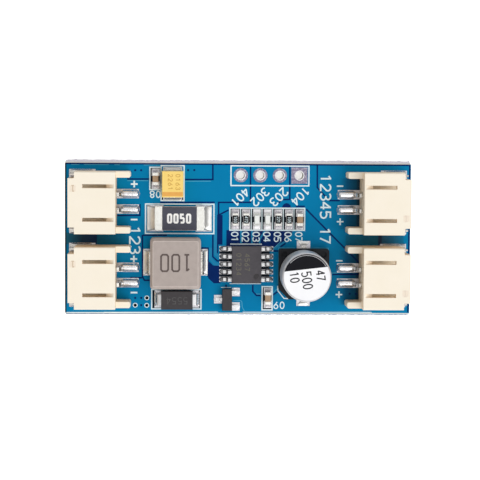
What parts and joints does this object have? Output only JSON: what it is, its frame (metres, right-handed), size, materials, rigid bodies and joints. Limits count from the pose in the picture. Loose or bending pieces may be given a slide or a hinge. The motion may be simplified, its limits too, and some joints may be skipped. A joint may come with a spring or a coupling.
{
  "type": "battery charger module",
  "caption": "Flat blue circuit board that charges a lithium cell from a solar panel, with side-entry wire sockets at both ends and the charger parts between them",
  "frame": {"origin": "middle of the board's underside", "axes": "+X from the battery sockets towards the solar sockets, +Y towards the header holes, +Z out of the populated face"},
  "size_m": [0.045, 0.0198, 0.0075],
  "materials": {
    "socket_bracket": "tinned, stamped",
    "socket_contact": "tinned, drawn",
    "socket_plastic": "moulded cream nylon",
    "ceramic_tan": "fired ceramic",
    "end_cap": "plated end cap",
    "can_aluminium": "drawn, satin",
    "lead_metal": "tinned lead frame",
    "seat_plastic": "moulded",
    "lamp_base": "white laminate",
    "lamp_lens": "clear moulded epoxy",
    "board_laminate": "blue solder mask on glass-epoxy laminate",
    "package_black": "moulded epoxy",
    "strap_metal": "tinned strap",
    "plated_hole": "levelled tin",
    "inductor_moulding": "pressed iron-powder moulding, warm grey",
    "solder": "bright reflowed solder",
    "resistor_ceramic": "alumina",
    "resistor_coat": "printed overglaze",
    "tantalum_yellow": "moulded epoxy",
    "tinned_pad": "levelled tin"
  },
  "bodies": {
    "root": {"battery_socket_1_brackets": "socket_bracket", "battery_socket_1_contacts": "socket_contact", "battery_socket_1_housing": "socket_plastic", "battery_socket_2_brackets": "socket_bracket", "battery_socket_2_contacts": "socket_contact", "battery_socket_2_housing": "socket_plastic", "bypass_capacitor_body": "ceramic_tan", "bypass_capacitor_end_caps": "end_cap", "capacitor_can": "can_aluminium", "capacitor_leads": "lead_metal", "capacitor_seat": "seat_plastic", "charged_lamp_base": "lamp_base", "charged_lamp_end_caps": "end_cap", "charged_lamp_lens": "lamp_lens", "charging_lamp_base": "lamp_base", "charging_lamp_end_caps": "end_cap", "charging_lamp_lens": "lamp_lens", "circuit_board": "board_laminate", "controller_chip_body": "package_black", "controller_chip_leads": "lead_metal", "diode_body": "package_black", "diode_terminals": "strap_metal", "filter_capacitor_body": "ceramic_tan", "filter_capacitor_end_caps": "end_cap", "header_pads": "plated_hole", "inductor_body": "inductor_moulding", "inductor_terminals": "strap_metal", "input_capacitor_body": "ceramic_tan", "input_capacitor_end_caps": "end_cap", "part_solder": "solder", "resistor_1_body": "resistor_ceramic", "resistor_1_end_caps": "end_cap", "resistor_2_body": "resistor_ceramic", "resistor_2_end_caps": "end_cap", "resistor_3_body": "resistor_ceramic", "resistor_3_end_caps": "end_cap", "resistor_4_body": "resistor_ceramic", "resistor_4_end_caps": "end_cap", "resistor_coats": "resistor_coat", "sense_resistor_body": "resistor_ceramic", "sense_resistor_coat": "resistor_coat", "sense_resistor_end_caps": "end_cap", "socket_solder": "solder", "solar_socket_1_brackets": "socket_bracket", "solar_socket_1_contacts": "socket_contact", "solar_socket_1_housing": "socket_plastic", "solar_socket_2_brackets": "socket_bracket", "solar_socket_2_contacts": "socket_contact", "solar_socket_2_housing": "socket_plastic", "tantalum_capacitor_body": "tantalum_yellow", "tantalum_capacitor_terminals": "strap_metal", "tinned_pads": "tinned_pad", "transistor_body": "package_black", "transistor_leads": "lead_metal"}
  },
  "joints": []
}
